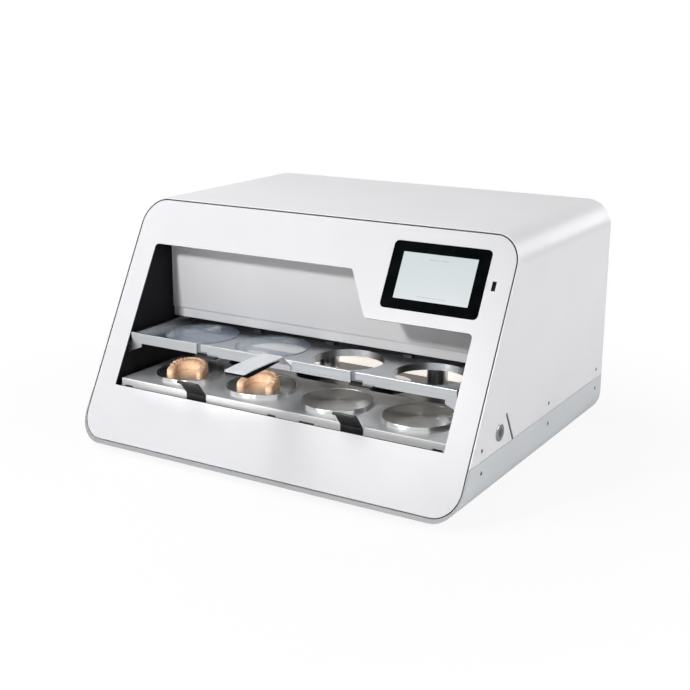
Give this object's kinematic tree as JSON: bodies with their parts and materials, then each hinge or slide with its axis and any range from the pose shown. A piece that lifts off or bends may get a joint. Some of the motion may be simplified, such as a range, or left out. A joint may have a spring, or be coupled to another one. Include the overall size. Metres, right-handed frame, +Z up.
{
  "type": "dental pressure former",
  "caption": "Bench pressure forming machine for dental foils with a slanted window, a display, sliding trays for foils and models, a heater and pressure bells.",
  "frame": {"origin": "on the table, under the middle of the machine's bounding box", "axes": "+Z up, the slanted front with the window faces -Y, +X to the machine's right as its front is seen from outside"},
  "size_m": [0.76, 0.681, 0.426],
  "materials": {
    "white_paint": "satin white powder coat",
    "hood_paint": "satin light grey powder coat",
    "base_paint": "satin grey powder coat",
    "black_sheet": "matt black powder coat",
    "baffle_panel": "pale panel with a lamp behind it",
    "cover_paint": "satin light grey powder coat",
    "floor_sheet": "dark anodised sheet",
    "frame_metal": "mill finish",
    "steel_strip": "zinc plated",
    "screw_steel": "bright zinc",
    "bezel_glass": "glossy black glass",
    "screen": "lit display",
    "black_plastic": "fine grained",
    "port_plastic": "black",
    "key_chrome": "polished",
    "rotor_chrome": "polished",
    "foot_rubber": "matt black",
    "rail_metal": "satin anodised",
    "tray_metal": "fine brushed",
    "model_tray_metal": "polished",
    "disc_metal": "turned face",
    "catch_metal": "black oxide",
    "foil_plastic": "clear thermoforming foil",
    "bracket_metal": "satin",
    "grip_plastic": "black",
    "grip_metal": "brushed",
    "pull_metal": "matt black",
    "plaster": "tan dental stone",
    "heater_metal": "satin",
    "ceramic": "glazed ceramic",
    "rod_steel": "ground and polished",
    "block_metal": "black anodised",
    "head_metal": "machined",
    "bell_metal": "turned",
    "cylinder_metal": "anodised",
    "supply_metal": "perforated sheet case",
    "tank_paint": "blue grey paint",
    "valve_metal": "anodised",
    "board_plastic": "green solder mask",
    "back_paint": "satin light grey powder coat",
    "coupling_metal": "nickel plated brass",
    "silencer_bronze": "sintered bronze"
  },
  "bodies": {
    "casing": {"hood_shell": "hood_paint", "base_shell": "base_paint", "front_panel": "white_paint", "display_bezel": "bezel_glass", "display_screen": "screen", "display_housing": "black_plastic", "usb_port": "port_plastic", "left_inner_wall": "black_sheet", "right_inner_wall": "black_sheet", "chamber_floor": "floor_sheet", "rear_cover": "cover_paint", "chassis_frame": "frame_metal", "join_strips": "steel_strip", "casing_screws": "screw_steel", "side_slot_liner": "black_sheet", "key_lock_body": "key_chrome", "rubber_feet": "foot_rubber", "tray_rails": "rail_metal", "rear_baffle": "baffle_panel", "heater_rods": "rod_steel", "rod_blocks": "block_metal", "head_cylinders": "cylinder_metal", "top_crossbeam": "head_metal", "lift_cylinders": "cylinder_metal", "power_supply": "supply_metal", "air_tank": "tank_paint", "valve_block": "valve_metal", "control_board": "board_plastic", "back_panel": "back_paint", "fan_frame": "black_plastic", "power_inlet": "black_plastic", "air_coupling": "coupling_metal", "exhaust_silencer": "silencer_bronze"},
    "foil_carriage": {"foil_tray": "tray_metal", "frame_catches": "catch_metal", "tray_knuckles": "black_plastic", "foil_sheet_1": "foil_plastic", "foil_sheet_2": "foil_plastic", "foil_handle_bracket": "bracket_metal", "foil_handle_grip": "grip_plastic", "foil_handle_top": "grip_metal"},
    "model_carriage": {"model_tray": "model_tray_metal", "pull_handles": "pull_metal"},
    "disc_1": {"model_plate_1": "disc_metal", "plaster_cast_1": "plaster"},
    "disc_2": {"model_plate_2": "disc_metal", "plaster_cast_2": "plaster"},
    "disc_3": {"model_plate_3": "disc_metal"},
    "disc_4": {"model_plate_4": "disc_metal"},
    "heater_carriage": {"heater_housing": "heater_metal", "heater_emitters": "ceramic"},
    "pressure_head": {"pressure_beam": "head_metal", "pressure_bells": "bell_metal", "head_piston_rods": "rod_steel"},
    "lift_frame": {"lift_plate": "head_metal", "lift_rods": "rod_steel"},
    "fan": {"fan_rotor": "black_plastic"},
    "key": {"key_rotor": "rotor_chrome"},
    "rocker": {"switch_rocker": "black_plastic"}
  },
  "joints": [
    {"name": "foil_carriage_slide", "type": "slide", "parent": "casing", "child": "foil_carriage", "axis": [0, 1, 0], "range_m": [0, 0.15]},
    {"name": "model_carriage_slide", "type": "slide", "parent": "casing", "child": "model_carriage", "axis": [0, 1, 0], "range_m": [0, 0.187]},
    {"name": "heater_slide", "type": "slide", "parent": "casing", "child": "heater_carriage", "axis": [0, -1, 0], "range_m": [0, 0.178]},
    {"name": "pressure_head_slide", "type": "slide", "parent": "casing", "child": "pressure_head", "axis": [0, 0, 1], "range_m": [-0.063, 0]},
    {"name": "lift_slide", "type": "slide", "parent": "casing", "child": "lift_frame", "axis": [0, 0, -1], "range_m": [-0.05, 0]},
    {"name": "fan_spin", "type": "hinge", "parent": "casing", "child": "fan", "pos_m": [0.25, 0.313, 0.33], "axis": [0, 1, 0], "continuous": true},
    {"name": "key_turn", "type": "hinge", "parent": "casing", "child": "key", "pos_m": [0.379, -0.15236, 0.1214], "axis": [1, 0, 0], "range_deg": [0, 90]},
    {"name": "rocker_tilt", "type": "hinge", "parent": "casing", "child": "rocker", "pos_m": [-0.25, 0.326, 0.135], "axis": [1, 0, 0], "range_deg": [0, 8]},
    {"name": "disc_1_lift", "type": "slide", "parent": "model_carriage", "child": "disc_1", "axis": [0, 0, 1], "range_m": [0, 0.028]},
    {"name": "disc_2_lift", "type": "slide", "parent": "model_carriage", "child": "disc_2", "axis": [0, 0, 1], "range_m": [0, 0.028]},
    {"name": "disc_3_lift", "type": "slide", "parent": "model_carriage", "child": "disc_3", "axis": [0, 0, 1], "range_m": [0, 0.028]},
    {"name": "disc_4_lift", "type": "slide", "parent": "model_carriage", "child": "disc_4", "axis": [0, 0, 1], "range_m": [0, 0.028]}
  ]
}
